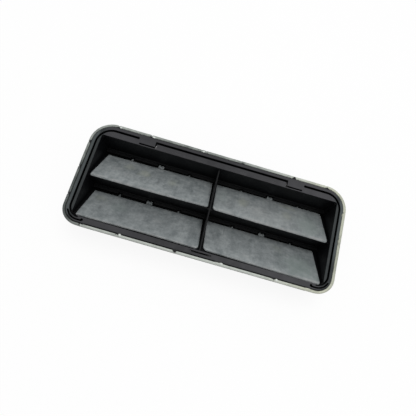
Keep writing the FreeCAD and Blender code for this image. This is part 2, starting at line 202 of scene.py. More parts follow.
def grain_group():
    """Fine moulded grain and slow waviness of a surface, as a height."""
    inputs = {"Vector": None, "Grain size": 0.0004, "Wave size": 0.01, "Wave share": 0.5}
    tree, nodes, given, result = group_tree("Grain", "Height", inputs)
    grain = nodes.noise(given["Vector"], nodes.math("DIVIDE", 1.0, given["Grain size"]), 2.0, 0.5)
    wave = nodes.noise(given["Vector"], nodes.math("DIVIDE", 1.0, given["Wave size"]), 2.0, 0.5)
    total = nodes.plus(grain, nodes.times(wave, given["Wave share"]))
    tree.links.new(total, result)
    return tree


def dust_group():
    """Dust that settles on faces turned up, thinner where the surface is wiped."""
    inputs = {"Vector": None, "Normal": None, "Amount": 0.1, "Patch size": 0.012}
    tree, nodes, given, result = group_tree("Dust", "Mask", inputs)
    up = nodes.split(given["Normal"])["Z"]
    facing = nodes.remap(up, 0.1, 0.9)
    patches = nodes.noise(given["Vector"], nodes.math("DIVIDE", 1.0, given["Patch size"]), 5.0, 0.65)
    specks = nodes.noise(given["Vector"], SPECK_SCALE, 2.0, 0.5)
    patchy = nodes.remap(patches, 0.3, 0.75)
    speckled = nodes.remap(specks, 0.5, 0.72, 0.35, 1.0)
    mask = nodes.times(nodes.product(facing, patchy, speckled), given["Amount"], clamp=True)
    tree.links.new(mask, result)
    return tree


def start_material(name):
    material = bpy.data.materials.new(name)
    material.use_nodes = True
    nodes = Nodes(material.node_tree)
    shader = material.node_tree.nodes["Principled BSDF"]
    place = nodes.add("ShaderNodeTexCoord").outputs["Object"]
    return material, nodes, shader, place


def stained(nodes, groups, place, size, cover, softness):
    """Mask of irregular stains of one size."""
    inputs = {"Vector": place, "Size": size * MM, "Cover": cover, "Softness": softness}
    return nodes.add("ShaderNodeGroup", inputs, node_tree=groups["blotches"]).outputs["Mask"]


def add_relief(nodes, shader, groups, place, sizes, strength, depth, edges=None):
    """Gives a surface its grain and waves; sizes are grain and wave in millimetres, and the wave's share."""
    inputs = {"Vector": place, "Grain size": sizes[0] * MM, "Wave size": sizes[1] * MM, "Wave share": sizes[2]}
    height = nodes.add("ShaderNodeGroup", inputs, node_tree=groups["grain"]).outputs["Height"]
    inputs = {"Height": height, "Strength": strength, "Distance": depth * MM}
    if edges:
        inputs["Normal"] = edges
    bump = nodes.add("ShaderNodeBump", inputs)
    nodes.tree.links.new(bump.outputs["Normal"], shader.inputs["Normal"])


def connect(nodes, shader, base, rough):
    nodes.tree.links.new(base, shader.inputs["Base Color"])
    nodes.tree.links.new(rough, shader.inputs["Roughness"])


# Stains and marks on the flaps, and broad patches of painted light and shade: x, y, reach along x, reach along y, in
# millimetres, and strength
WARM_SPOTS = (
    (-68.0, 17.4, 6.0, 4.5, 0.4),
    (-55.0, 14.8, 7.0, 5.0, 0.6),
    (-32.0, 13.2, 6.0, 5.0, 0.45),
    (25.0, 13.9, 6.0, 6.0, 0.55),
    (62.0, 23.2, 8.0, 3.5, 0.5),
    (60.0, 13.2, 6.0, 6.0, 0.4),
    (-82.0, -13.2, 7.0, 4.0, 0.4),
    (60.0, -13.0, 6.0, 4.0, 0.3),
)
GREEN_SPOTS = (
    (77.0, 9.0, 14.0, 14.0, 0.55),
    (8.0, 14.0, 7.0, 9.0, 0.25),
    (76.0, -24.5, 20.0, 13.0, 0.6),
    (-66.0, -17.0, 9.0, 8.0, 0.35),
)
CHALK_AND_LIGHT_SPOTS = (
    (-76.0, 11.6, 5.0, 3.0, 0.3),
    (-66.0, 7.9, 6.0, 3.0, 0.25),
    (-54.0, 15.0, 1.6, 3.0, 0.35),
    (-38.0, -13.0, 3.0, 3.0, 0.2),
    (-34.0, -20.0, 5.0, 3.5, 0.25),
    (67.0, -16.8, 1.5, 2.0, 0.4),
    (36.0, -28.4, 4.0, 3.0, 0.25),
    (38.0, 9.0, 10.0, 8.0, 0.2),
    # Broad patch of painted light over the right-hand flaps
    (46.0, 9.0, 52.0, 24.0, 0.16),
)
DARK_MARKS_AND_SHADE = (
    (-43.0, 9.5, 0.9, 4.5, 0.5),
    (-50.0, 7.0, 1.0, 3.0, 0.3),
    (-78.0, -21.5, 1.4, 3.0, 0.5),
    (16.0, -11.5, 0.5, 6.0, 0.6),
    (-70.0, 25.0, 1.2, 1.5, 0.4),
    # Broad patches of painted shade over the lower row of flaps, deeper on the left
    (-46.0, -20.0, 60.0, 20.0, 0.2),
    (46.0, -20.0, 60.0, 20.0, 0.13),
)

# How pale each side of the seal still is: place along the side in millimetres, and share
WEAR_BOTTOM = ((-98.0, 0.03), (-93.0, 0.12), (-85.2, 0.3), (-84.0, 0.78), (-40.0, 0.9), (0.0, 0.95), (98.0, 0.98))
WEAR_TOP = ((-92.0, 0.45), (-75.0, 0.6), (-45.0, 0.4), (-20.0, 0.36), (25.0, 0.52), (60.0, 0.85), (90.0, 0.95))
WEAR_LEFT = ((-38.0, 0.0), (-28.0, 0.0), (-17.0, 0.06), (3.0, 0.12), (20.0, 0.45), (36.0, 0.45))
WEAR_RIGHT = ((-36.0, 0.85), (-20.0, 0.58), (5.0, 0.75), (36.0, 0.83))

# Cracks across the seal: place on the flange's edge, the way out of it, slant, half width and depth
CRACKS = (
    ((-84.6, FLANGE_BOTTOM), (0, -1), 0.1, 0.55, 1.6),
    ((-57.6, FLANGE_BOTTOM), (0, -1), 0.9, 0.55, 1.5),
    ((57.4, FLANGE_BOTTOM), (0, -1), -0.15, 0.6, 1.5),
    ((-15.5, FLANGE_BOTTOM), (0, -1), 0.0, 1.3, 1.6),
    ((83.0, FLANGE_TOP), (0, 1), 0.3, 0.8, 1.2),
    ((-13.9, FLANGE_TOP), (0, 1), 0.0, 0.5, 1.2),
    ((-17.6, FLANGE_TOP), (0, 1), 0.0, 0.5, 1.2),
    ((-57.0, FLANGE_TOP), (0, 1), 0.0, 0.6, 1.5),
    ((-82.4, FLANGE_TOP), (0, 1), 0.2, 0.5, 1.4),
    ((15.6, FLANGE_TOP), (0, 1), 0.6, 0.5, 0.9),
    ((-98.0, -21.0), (-1, 0), 0.1, 0.7, 1.2),
    ((-98.0, 0.8), (-1, 0), -0.2, 0.8, 1.2),
    ((-98.0, 21.5), (-1, 0), 0.1, 0.7, 1.2),
    ((98.0, 22.8), (1, 0), 0.1, 0.4, 0.9),
    ((98.0, -2.2), (1, 0), 0.1, 0.4, 0.9),
)

# Torn bits that lie over the flange's edge: place, the way out, half width, reach over the edge and rise
TUFTS = (
    ((-15.7, FLANGE_TOP), (0, 1), 2.0, 0.5, 1.1),
    ((-55.2, FLANGE_TOP), (0, 1), 1.9, 0.6, 1.1),
    ((-80.8, FLANGE_TOP), (0, 1), 1.3, 0.6, 1.1),
    ((18.4, FLANGE_BOTTOM), (0, -1), 1.6, 0.5, 0.9),
    ((15.6, FLANGE_BOTTOM), (0, -1), 2.0, 0.1, 0.9),
    ((81.9, FLANGE_BOTTOM), (0, -1), 2.2, 0.1, 0.9),
    ((-55.4, FLANGE_BOTTOM), (0, -1), 1.2, 0.6, 0.8),
    ((59.0, FLANGE_BOTTOM), (0, -1), 0.9, 0.4, 0.8),
    ((98.0, -21.2), (1, 0), 2.4, 0.0, 0.6),
    ((98.0, -0.3), (1, 0), 1.2, 0.5, 0.5),
    ((98.0, 20.6), (1, 0), 1.5, 0.8, 0.4),
)

# Painted shadows in the seal and on the flange, beside the claws and in the seal's splits: x, y, reach along x, reach
# along y and strength
HOLLOW_SHADOWS = (
    (-98.9, 21.5, 1.9, 1.6, 1.0),
    (-98.9, 0.8, 1.9, 1.9, 1.0),
    (-98.9, -21.0, 1.8, 1.7, 1.0),
    (-57.7, 38.7, 1.2, 1.0, 1.0),
    (-82.7, 38.6, 1.0, 0.9, 0.8),
    (-18.4, 38.7, 0.7, 0.8, 0.7),
    (-13.0, 38.7, 0.7, 0.8, 0.7),
    (56.5, 38.9, 1.8, 1.2, 0.8),
    (83.0, 38.0, 2.0, 0.9, 0.8),
    (-15.5, -40.1, 2.0, 1.5, 1.0),
    (-84.5, -40.2, 0.7, 1.6, 0.8),
    (-58.3, -40.3, 0.7, 0.9, 0.7),
    (56.9, -40.0, 0.9, 0.8, 0.8),
)


# Where the lower corners' radius gives way to the upper corners', in millimetres from the middle
CORNER_CHANGE = (-20.0, 20.0)


def beyond_edge(nodes, axes):
    """Distance outwards from the flange's rounded outline, in metres; negative on the flange."""
    middle = (FLANGE_TOP + FLANGE_BOTTOM) / 2 * MM
    half = (FLANGE_TOP - FLANGE_BOTTOM) / 2 * MM
    above = nodes.minus(axes["Y"], middle)
    radius = nodes.fade(above, CORNER_CHANGE, FLANGE_CORNER_BOTTOM * MM, FLANGE_CORNER_TOP * MM)
    parts = []
    for value, limit in ((axes["X"], FLANGE_RIGHT * MM), (above, half)):
        inner = nodes.minus(limit, radius)
        parts.append(nodes.larger(nodes.minus(nodes.unsigned(value), inner), 0.0))
    corner = nodes.add("ShaderNodeCombineXYZ", {"X": parts[0], "Y": parts[1]}).outputs[0]
    far = nodes.length(corner)
    return nodes.minus(far, radius)


def patches(nodes, place, spots):
    """Mask of soft patches; each spot is x, y, reach along x, reach along y and strength."""
    rough_place = nodes.noise(place, PATCH_EDGE_SCALE, 3.0, 0.6)
    rough_edge = nodes.times(nodes.minus(rough_place, 0.5), PATCH_RAGGED)
    total = 0.0
    for x, y, reach_x, reach_y, strength in spots:
        shift = nodes.vector("SUBTRACT", place, (x * MM, y * MM, 0.0))
        shares = nodes.vector("MULTIPLY", shift, (1 / (reach_x * MM), 1 / (reach_y * MM), 0.0))
        mask = nodes.remap(nodes.plus(nodes.length(shares), rough_edge), *PATCH_FADE, strength, 0.0)
        total = nodes.plus(mask, total)
    return nodes.math("MINIMUM", total, 1.0)


# Where the plastic's finish changes: bands in millimetres of height, of distance from the middle or past the edge
FRONT_HEIGHTS = (31.8, 33.7)
RAILS_END = (90.5, 92.0)
RIDGES_END = (94.0, 94.6)
WORN_ENDS = (88.0, 93.0)
POST_SIDES = (3.0, 3.5)
OPENINGS_MIDDLE = -2.9
OPENINGS_END = (32.1, 32.3)
FADING_ENDS = (30.0, 80.0)
RIGHT_RAMP = (-20.0, 60.0)
RIM_BAND = (-0.8, -0.2)
CLAW_BAND = (0.0, 0.2)
CORNER_ACROSS = (93.5, 94.5)
CORNER_UP = (-21.0, -6.0)
DUST_PATCH = 14.0

# How much of the fading and painted sheen each place keeps or loses
RIDGE_DARKENING = 0.75
POST_LOSS = 0.92
MIDDLE_SHARE, END_SHARE, RIGHT_SHARE = 0.68, 0.98, 0.24
CLAW_SHARE = 0.1
CORNER_LOSS = 0.6


# Finishes
def faded_and_sheen(nodes, finish, groups, place, normal):
    """How much of the weathered grey the plastic gets, part fading and part painted sheen: only faces turned up on
    the front, less by the openings, on the post and in the dirty lower right corner, with painted shade along the
    flange's outer edge and by the claws.
    """
    axes = nodes.split(place)
    aside = nodes.unsigned(axes["X"])
    shades = stained(nodes, groups, place, 30.0, 0.5, 0.2)
    # The ridges beside the groove are kept darker than the rails
    shelter = nodes.fade(aside, RAILS_END, finish.sheltered, finish.sheltered * RIDGE_DARKENING)
    from_middle = nodes.unsigned(nodes.minus(axes["Y"], OPENINGS_MIDDLE * MM))
    post = nodes.times(nodes.fade(aside, POST_SIDES, POST_LOSS, 0.0), nodes.fade(from_middle, OPENINGS_END, 1.0, 0.0))
    ends = nodes.fade(aside, FADING_ENDS, MIDDLE_SHARE, END_SHARE)
    beyond = beyond_edge(nodes, axes)
    corner = nodes.times(nodes.fade(axes["X"], CORNER_ACROSS), nodes.fade(axes["Y"], CORNER_UP, CORNER_LOSS, 0.0))
    return nodes.product(
        nodes.fade(axes["Z"], FRONT_HEIGHTS),
        nodes.remap(nodes.split(normal)["Z"], 0.2, 0.95),
        nodes.remap(shades, 0.0, 1.0, 0.8, 1.0),
        nodes.fade(aside, RIDGES_END, shelter, 1.0),
        nodes.minus(1.0, post),
        # The front is made lighter towards the right
        nodes.plus(ends, nodes.fade(axes["X"], RIGHT_RAMP, 0.0, RIGHT_SHARE)),
        # Painted shade along the flange's outer edge, in the crevice by the seal
        nodes.fade(beyond, RIM_BAND, 1.0, finish.rim_dirt),
        nodes.fade(beyond, CLAW_BAND, 1.0, CLAW_SHARE),
        # Painted shadows by the claws and in the splits keep the plastic black there
        nodes.minus(1.0, patches(nodes, place, HOLLOW_SHADOWS)),
        nodes.minus(1.0, corner),
    )


def plastic_material(finish, groups):
    material, nodes, shader, place = start_material("Black moulded plastic")
    normal = nodes.add("ShaderNodeNewGeometry").outputs["Normal"]
    aside = nodes.unsigned(nodes.split(place)["X"])
    # The weathered grey is part fading and part a painted sheen on faces turned up
    worn_and_sheen = nodes.mix(nodes.fade(aside, WORN_ENDS), finish.plastic_worn, finish.plastic_worn_ends)
    base = nodes.mix(faded_and_sheen(nodes, finish, groups, place, normal), finish.plastic_deep, worn_and_sheen)
    inputs = {"Vector": place, "Normal": normal, "Amount": finish.plastic_dust, "Patch size": DUST_PATCH * MM}
    dust = nodes.add("ShaderNodeGroup", inputs, node_tree=groups["dust"]).outputs["Mask"]
    base = nodes.mix(dust, base, finish.dust_colour)
    rub = nodes.noise(place, RUB_SCALE, 4.0, 0.6)
    rough = nodes.remap(rub, 0.3, 0.7, finish.plastic_roughness - 0.07, finish.plastic_roughness + 0.07)
    rough = nodes.plus(rough, nodes.times(dust, 0.5), clamp=True)
    connect(nodes, shader, base, rough)
    edges = nodes.add("ShaderNodeBevel", {"Radius": finish.edge_round}, samples=6)
    add_relief(nodes, shader, groups, place, (0.35, 9.0, 1.6), 0.25, 0.06, edges.outputs["Normal"])
    shader.inputs["Specular IOR Level"].default_value = finish.plastic_shine
    return material


# The flaps' streaks run down their length, and their free edges are paler from these heights up: part wear, part a
# painted highlight
STREAK_SHRINK = (1.0, 0.13, 0.13)
FREE_EDGE_HEIGHTS = (29.9, 31.1)


def flap_material(finish, groups):
    material, nodes, shader, place = start_material("Chalky grey rubber")
    drawn = nodes.add("ShaderNodeMapping", {"Vector": place, "Scale": STREAK_SHRINK}).outputs["Vector"]
    shade = 0.0
    for part, weight in (
        (stained(nodes, groups, place, 11.0, 0.5, 0.17), 0.4),
        (stained(nodes, groups, place, 4.5, 0.5, 0.2), 0.38),
        (nodes.remap(nodes.noise(drawn, STREAK_SCALE, 3.0, 0.6), 0.3, 0.7), 0.14),
        (nodes.remap(nodes.noise(place, GRIT_SCALE, 2.0, 0.6), 0.3, 0.7), 0.08),
    ):
        shade = nodes.plus(nodes.times(part, weight), shade)
    base = nodes.mix(shade, finish.rubber_dark, finish.rubber_light)
    # The chalk and dark tables also hold broad painted light and shade
    for spots, tone in (
        (WARM_SPOTS, finish.rubber_warm),
        (GREEN_SPOTS, finish.rubber_green),
        (CHALK_AND_LIGHT_SPOTS, finish.chalk_colour),
        (DARK_MARKS_AND_SHADE, finish.rubber_mark),
    ):
        base = nodes.mix(patches(nodes, place, spots), base, tone)
    # Pale free edge: part wear, part a painted highlight along the rim
    rubbed_and_highlit = nodes.remap(nodes.noise(place, RIM_PATCH_SCALE, 3.0, 0.6), 0.3, 0.62)
    rim = nodes.product(nodes.fade(nodes.split(place)["Z"], FREE_EDGE_HEIGHTS), rubbed_and_highlit, finish.rim_wear)
    base = nodes.mix(rim, base, finish.rim_colour)
    rough = nodes.remap(shade, 0.2, 0.8, finish.rubber_roughness - 0.06, finish.rubber_roughness + 0.08)
    connect(nodes, shader, base, rough)
    add_relief(nodes, shader, groups, place, (0.6, 5.0, 2.4), 0.45, 0.12)
    return material


# Where the seal's finish changes: bands in millimetres of height, of place along an axis or past the edge
SIDE_CHANGE = (-10.0, 10.0)
ENDS_BEGIN = (90.0, 96.0)
CREAM_REACH = (40.0, 98.0)
TUCK_BAND = (0.0, 0.3)
TUCK_REACH, TUCK_EDGE = (50.0, 90.0), (0.3, -0.4)
FLANK_HEIGHTS = (31.1, 32.7)
FLANK_LEFT_END = (-97.0, -90.0)
FLANK_TOP_END = (28.0, 37.0)
CROWN_HEIGHTS = (31.8, 32.6)
# Heights over which the painted shadows reach up the seal
HOLLOW_SHADOW_HEIGHTS = (29.5, 31.0)
WEAR_SPAN = 200.0

# How strong the dirt is in specks, and the painted shade on the flank towards the flange and where the seal is tucked
# in
SPECK_DIRT, FLANK_SHADE, TUCK_SHADE = 0.3, 0.42, 0.75

# Tufts that reach over the edge by more than this show fresh rubber: its shift outwards, its reach and strength
FRESH_REACH = 0.3
FRESH_SHIFT, FRESH_WIDTH, FRESH_STRENGTH = 0.6, 1.1, 0.9


def wear_ramp(nodes, value, stops):
    """Paleness along one side of the seal, from stops of place in millimetres and share."""
    half = WEAR_SPAN / 2 * MM
    ramp = nodes.add("ShaderNodeValToRGB", {"Fac": nodes.remap(value, -half, half, smooth=False)})
    elements = ramp.color_ramp.elements
    while len(elements) < len(stops):
        elements.new(0.5)
    for element, (place, pale) in zip(elements, stops):
        element.position = place / WEAR_SPAN + 0.5
        element.color = (pale, pale, pale, 1.0)
    return ramp.outputs["Color"]


def seal_paleness(nodes, axes):
    """How pale the seal still is, all round."""
    sides = []
    for along, across, first, second in (("X", "Y", WEAR_BOTTOM, WEAR_TOP), ("Y", "X", WEAR_LEFT, WEAR_RIGHT)):
        ramps = [wear_ramp(nodes, axes[along], stops) for stops in (first, second)]
        sides.append(nodes.mix(nodes.fade(axes[across], SIDE_CHANGE), *ramps))
    return nodes.mix(nodes.fade(nodes.unsigned(axes["X"]), ENDS_BEGIN), *sides)


def seal_dirt(nodes, axes, specks):
    """Dirt in specks, and painted shade on the flank towards the flange and where the seal is tucked in at the
    flange.
    """
    edge = nodes.fade(axes["X"], TUCK_REACH, TUCK_EDGE[0] * MM, TUCK_EDGE[1] * MM)
    tucked = nodes.fade(nodes.minus(beyond_edge(nodes, axes), edge), TUCK_BAND, TUCK_SHADE, 0.0)
    flank = nodes.product(
        nodes.fade(axes["Z"], FLANK_HEIGHTS, FLANK_SHADE, 0.0),
        nodes.fade(axes["X"], FLANK_LEFT_END),
        nodes.fade(axes["Y"], FLANK_TOP_END, 1.0, 0.0),
    )
    return nodes.larger(nodes.larger(nodes.times(specks, SPECK_DIRT), flank), tucked)


def seal_material(finish, groups):
    material, nodes, shader, place = start_material("Aged pale seal")
    axes = nodes.split(place)
    stains = stained(nodes, groups, place, 7.0, 0.45, 0.12)
    specks = stained(nodes, groups, place, 1.9, 0.32, 0.06)
    pale = nodes.minus(seal_paleness(nodes, axes), nodes.times(stains, finish.seal_blotch))
    light = nodes.mix(nodes.fade(axes["X"], CREAM_REACH), finish.seal_light, finish.seal_cream)
    base = nodes.mix(nodes.larger(pale, 0.0), finish.seal_grey, light)
    # Dirt specks, and painted shade on the flank and in the crevice at the flange
    base = nodes.mix(seal_dirt(nodes, axes, specks), base, finish.seal_dirt)
    torn = [
        (x, y + away * FRESH_SHIFT, half, FRESH_WIDTH, FRESH_STRENGTH)
        for (x, y), (_, away), half, reach, _ in TUFTS
        if reach > FRESH_REACH and away
    ]
    crown = nodes.fade(axes["Z"], CROWN_HEIGHTS)
    base = nodes.mix(nodes.times(patches(nodes, place, torn), crown), base, finish.seal_torn)
    # Painted shadows beside the claws and in the splits, in black on the seal's upper part
    hollow_shadow = nodes.times(patches(nodes, place, HOLLOW_SHADOWS), nodes.fade(axes["Z"], HOLLOW_SHADOW_HEIGHTS))
    base = nodes.mix(hollow_shadow, base, finish.plastic_deep)
    rough = nodes.remap(stains, 0.0, 1.0, finish.seal_roughness - 0.08, finish.seal_roughness + 0.1)
    connect(nodes, shader, base, rough)
    add_relief(nodes, shader, groups, place, (0.5, 3.0, 2.0), 0.5, 0.15)
    return material


# Meshes
def fill_mesh(mesh, mesh_data):
    """Writes the built faces into a mesh, turned outwards and shaded smoothly."""
    bmesh.ops.recalc_face_normals(mesh_data, faces=mesh_data.faces)
    mesh_data.to_mesh(mesh)
    mesh_data.free()
    mesh.shade_smooth()


def piece_from_bmesh(name, mesh_data):
    mesh = bpy.data.meshes.new(name)
    fill_mesh(mesh, mesh_data)
    piece = bpy.data.objects.new(name, mesh)
    bpy.context.scene.collection.objects.link(piece)
    return piece


def bake(piece):
    """Turns the evaluated piece into a plain mesh with no modifiers."""
    graph = bpy.context.evaluated_depsgraph_get()
    mesh = bpy.data.meshes.new_from_object(piece.evaluated_get(graph), depsgraph=graph)
    piece.modifiers.clear()
    piece.data = mesh


def join_rings(mesh_data, rings):
    """Faces between each ring of points and the next."""
    count = len(rings[0])
    for first, second in zip(rings, rings[1:]):
        for k in range(count):
            mesh_data.faces.new((first[k], first[(k + 1) % count], second[(k + 1) % count], second[k]))


# How a flap's sheet is divided: over its width, down its length, and closer together in its free corners
COLUMNS = 60
ROWS = 26
CORNER_ROWS = 12
CORNER_CROWDING = 1.7

# Its rounded rim, from front to back: how far in from the rim, and the level between the two faces
RIM_BEND = ((0.7, 0.92), (0.29, 0.71), (0.0, 0.3), (0.0, -0.3), (0.29, -0.71), (0.7, -0.92))

# Length by the free edge over which the sheet thins, softened rim of a tab, and a tab's neck, in millimetres
THINNING = 5.0
TAB_RIM = 0.16
NECK_START = -0.35
NECK_OVERLAP = 1.2
NECK_SLIMMER = 0.1

# How a warped flap stands off: power along its length, slopes from each corner, and the wave over its width
LIFT_POWER = 1.6
LEFT_SLOPE = 1.25
RIGHT_SLOPE, RIGHT_SHIFT = 1.6, 0.6
RIPPLE_TURN = 9.0


# Flaps
def on_flap(hinge, x, along, out):
    y = hinge.y / MM - along * math.cos(FLAP_TILT) + out * math.sin(FLAP_TILT)
    z = hinge.z / MM + along * math.sin(FLAP_TILT) + out * math.cos(FLAP_TILT)
    return Vector((x, y, z)) * MM


def smooth(value):
    value = min(max(value, 0.0), 1.0)
    return value * value * (3 - 2 * value)


def flap_lift(shape, share_x, share_along):
    """How far the rubber stands off its seat, in millimetres, over the closed flap."""
    left = shape.lift_left * smooth(1 - share_x * LEFT_SLOPE)
    right = shape.lift_right * smooth(share_x * RIGHT_SLOPE - RIGHT_SHIFT)
    ripple = 0.5 + 0.5 * math.sin(share_x * RIPPLE_TURN + shape.ripple_start)
    return share_along ** LIFT_POWER * (left + right + shape.ripple * ripple)


def flap_start(shape, share):
    """How far below the hinge the sheet's upper edge hangs, in millimetres."""
    return shape.hang_left + (shape.hang_right - shape.hang_left) * share


def flap_end(shape, share):
    """Distance of the free edge from the hinge, in millimetres."""
    reach = shape.reach_left + (shape.reach_right - shape.reach_left) * share ** shape.reach_bend
    return FLAP_LENGTH + reach - shape.bow * math.sin(math.pi * share)


def flap_ends(shape, x0, x1, fall):
    """Left and right ends of the sheet at one share of the way down, with the corners rounded."""
    ends = []
    for radius in (shape.corner_left, shape.corner_right):
        depth = fall * FLAP_LENGTH - (FLAP_LENGTH - radius)
        ends.append(radius - math.sqrt(max(radius * radius - depth * depth, 0.0)) if depth > 0 else 0.0)
    left = x0 + shape.top_left + (shape.foot_left - shape.top_left) * fall
    right = x1 + shape.top_right + (shape.foot_right - shape.top_right) * fall
    return left + ends[0], right - ends[1]


def flap_sheet(mesh_data, hinge, shape, x0, x1, sizes):
    """Closed sheet with softened edges, thinner at its free edge: rings from the front's rim to the back's."""
    half = sizes.flap_thickness / 2
    edge = sizes.flap_edge
    thinner = sizes.flap_thickness - sizes.flap_free_thickness
    corner_share = max(shape.corner_left, shape.corner_right) / FLAP_LENGTH
    falls = [i / ROWS for i in range(ROWS - 1)]
    falls += [1.0 - corner_share * (1 - i / CORNER_ROWS) ** CORNER_CROWDING for i in range(CORNER_ROWS + 1)]
    falls = sorted(set(round(fall, 5) for fall in falls))
    last = len(falls) - 1
    border = [(i / COLUMNS, 0) for i in range(COLUMNS + 1)]
    border += [(1.0, j) for j in range(1, last + 1)]
    border += [(i / COLUMNS, last) for i in range(COLUMNS - 1, -1, -1)]
    border += [(0.0, j) for j in range(last - 1, 0, -1)]

    def place(share, j, level, inward):
        """Point on the sheet; level runs from 1 at the front to -1 at the back."""
        left, right = flap_ends(shape, x0, x1, falls[j])
        pull = edge * inward
        x = left + (right - left) * share + pull * ((share == 0) - (share == 1))
        start = flap_start(shape, share)
        end = flap_end(shape, share)
        along = start + (end - start) * falls[j] + pull * ((j == 0) - (j == last))
        near_end = smooth(1 - (end - along) / THINNING)
        out = half * level - thinner * near_end * (1 + level) / 2
        return on_flap(hinge, x, along, out + flap_lift(shape, (x - x0) / (x1 - x0), max(along, 0.0) / FLAP_LENGTH))

    grids = []
    for level in (1.0, -1.0):
        grid = []
        for j in range(last + 1):
            line = []
            for i in range(COLUMNS + 1):
                line.append(mesh_data.verts.new(place(i / COLUMNS, j, level, 1.0)))
            grid.append(line)
        grids.append(grid)
        for j in range(last):
            for i in range(COLUMNS):
                mesh_data.faces.new((grid[j][i], grid[j][i + 1], grid[j + 1][i + 1], grid[j + 1][i]))
    rings = [[grids[0][j][round(share * COLUMNS)] for share, j in border]]
    for inward, level in RIM_BEND:
        rings.append([mesh_data.verts.new(place(share, j, level, inward)) for share, j in border])
    rings.append([grids[1][j][round(share * COLUMNS)] for share, j in border])
    join_rings(mesh_data, rings)


def soft_plate(mesh_data, outline, thickness, place):
    """Flat plate with softened rims; place turns its own x, y and height into a point."""
    half = thickness / 2
    centre = sum((Vector(corner) for corner in outline), Vector((0, 0))) / len(outline)
    rings = []
    for level, inward in ((-half, TAB_RIM), (-half + TAB_RIM, 0.0), (half - TAB_RIM, 0.0), (half, TAB_RIM)):
        ring = []
        for corner in outline:
            away = Vector(corner) - centre
            x, y = Vector(corner) - away.normalized() * inward
            ring.append(mesh_data.verts.new(place(x, y, level)))
        rings.append(ring)
    join_rings(mesh_data, rings)
    mesh_data.faces.new(rings[0][::-1])
    mesh_data.faces.new(rings[-1])


def flap_tab(mesh_data, hinge, middle, outline, thickness, hang):
    """One tongue that hangs the flap in its ledge, with its neck down to the sheet."""

    def in_ledge(x, y, level):
        turned_y = y * math.cos(TAB_DIP) + level * math.sin(TAB_DIP)
        turned_z = -y * math.sin(TAB_DIP) + level * math.cos(TAB_DIP)
        return Vector((middle + x, hinge.y / MM + turned_y, hinge.z / MM + turned_z)) * MM

    def in_sheet(x, y, level):
        return on_flap(hinge, middle + x, y, level)

    soft_plate(mesh_data, outline, thickness, in_ledge)
    low = min(x for x, _ in outline)
    high = max(x for x, _ in outline)
    foot = hang + NECK_OVERLAP
    neck = ((low, NECK_START), (high, NECK_START), (high, foot), (low, foot))
    soft_plate(mesh_data, neck, thickness - NECK_SLIMMER, in_sheet)


# Outlines of a flap's tabs round their own place, in millimetres: the notched one in the middle, the two beside it
CROWN = (
    (-2.5, -0.3), (2.5, -0.3), (2.12, 2.4), (0.9, 2.4), (0.45, 2.0),
    (0.0, 1.6), (-0.45, 2.0), (-0.9, 2.4), (-2.12, 2.4),
)
NUB = ((-0.75, -0.3), (0.75, -0.3), (0.3, 0.75), (-0.3, 0.75))


# Seal
def flange_path():
    """Points round the flange's outline, anticlockwise from the middle of its lower edge."""
    left, right, bottom, top = FLANGE_LEFT, FLANGE_RIGHT, FLANGE_BOTTOM, FLANGE_TOP
    rb, rt = FLANGE_CORNER_BOTTOM, FLANGE_CORNER_TOP
    points = []

    def run(start, end):
        count = max(int((end - start).length / PATH_STEP), 1)
        for i in range(count):
            points.append(start.lerp(end, i / count))

    def bend(centre, radius, start):
        count = max(int(radius * math.pi / 2 / PATH_STEP), 4)
        for i in range(count):
            angle = start + (math.pi / 2) * i / count
            points.append(centre + Vector((math.cos(angle), math.sin(angle))) * radius)

    run(Vector((0, bottom)), Vector((right - rb, bottom)))
    bend(Vector((right - rb, bottom + rb)), rb, -math.pi / 2)
    run(Vector((right, bottom + rb)), Vector((right, top - rt)))
    bend(Vector((right - rt, top - rt)), rt, 0)
    run(Vector((right - rt, top)), Vector((left + rt, top)))
    bend(Vector((left + rt, top - rt)), rt, math.pi / 2)
    run(Vector((left, top - rt)), Vector((left, bottom + rb)))
    bend(Vector((left + rb, bottom + rb)), rb, math.pi)
    run(Vector((left + rb, bottom)), Vector((0, bottom)))
    return points


def closed_curve(name, points):
    data = bpy.data.curves.new(name, "CURVE")
    data.dimensions = "3D"
    spline = data.splines.new("POLY")
    spline.points.add(len(points) - 1)
    for point, place in zip(spline.points, points):
        point.co = (place[0], place[1], 0.0, 1.0)
    spline.use_cyclic_u = True
    curve = bpy.data.objects.new(name, data)
    bpy.context.scene.collection.objects.link(curve)
    return curve


# Section of the seal: share of its width outwards, and height in millimetres, from the flange's side
# over the crown and the bulge down to the foot and back up
SECTION = (
    (0.0, 31.2), (0.03, 32.2), (0.12, 32.78), (0.32, 33.0), (0.48, 32.98), (0.64, 32.78), (0.79, 32.4),
    (0.91, 31.85), (0.98, 31.15), (1.0, 30.5), (0.98, 29.85), (0.9, 29.2), (0.76, 28.75), (0.58, 28.5),
    (0.46, 28.1), (0.43, 27.2), (0.42, 25.6), (0.41, 24.55), (0.36, 24.32), (0.12, 24.3), (0.07, 24.5),
    (-0.2, 25.2), (-0.2, 27.3), (-0.17, 27.48), (0.0, 27.5), (0.0, 29.5),
)

# Step of its path, steps of its section, start of its waves, its crown, its dips, and which points are joined
PATH_STEP = 0.5
SECTION_STEPS = 37
SEAL_SEED = 0.37
SEAL_CROWN = (29.5, 32.0)
DIP_LEVEL = 0.62
JOIN_DISTANCE = 0.004

# What is torn, in millimetres: nothing below TORN_FROM, tufts from TUFT_FROM up, and both only so far out
TORN_FROM = 29.5
TUFT_FROM, TUFT_BAND = 31.0, 1.2
TUFT_OUT, TUFT_FADE = 2.2, 1.6
TUFT_ROUNDNESS = 0.7
TUFT_REACH = (-2.0, 4.0)
CRACK_REACH = (-2.0, 5.0)

# The way out of the flange on each side
SIDES = {"left": ("X", -1.0), "right": ("X", 1.0), "top": ("Y", 1.0), "bottom": ("Y", -1.0)}

# What the seal has a value of its own for on each side
BY_SIDE = ("Width", "Overlap", "Rise")


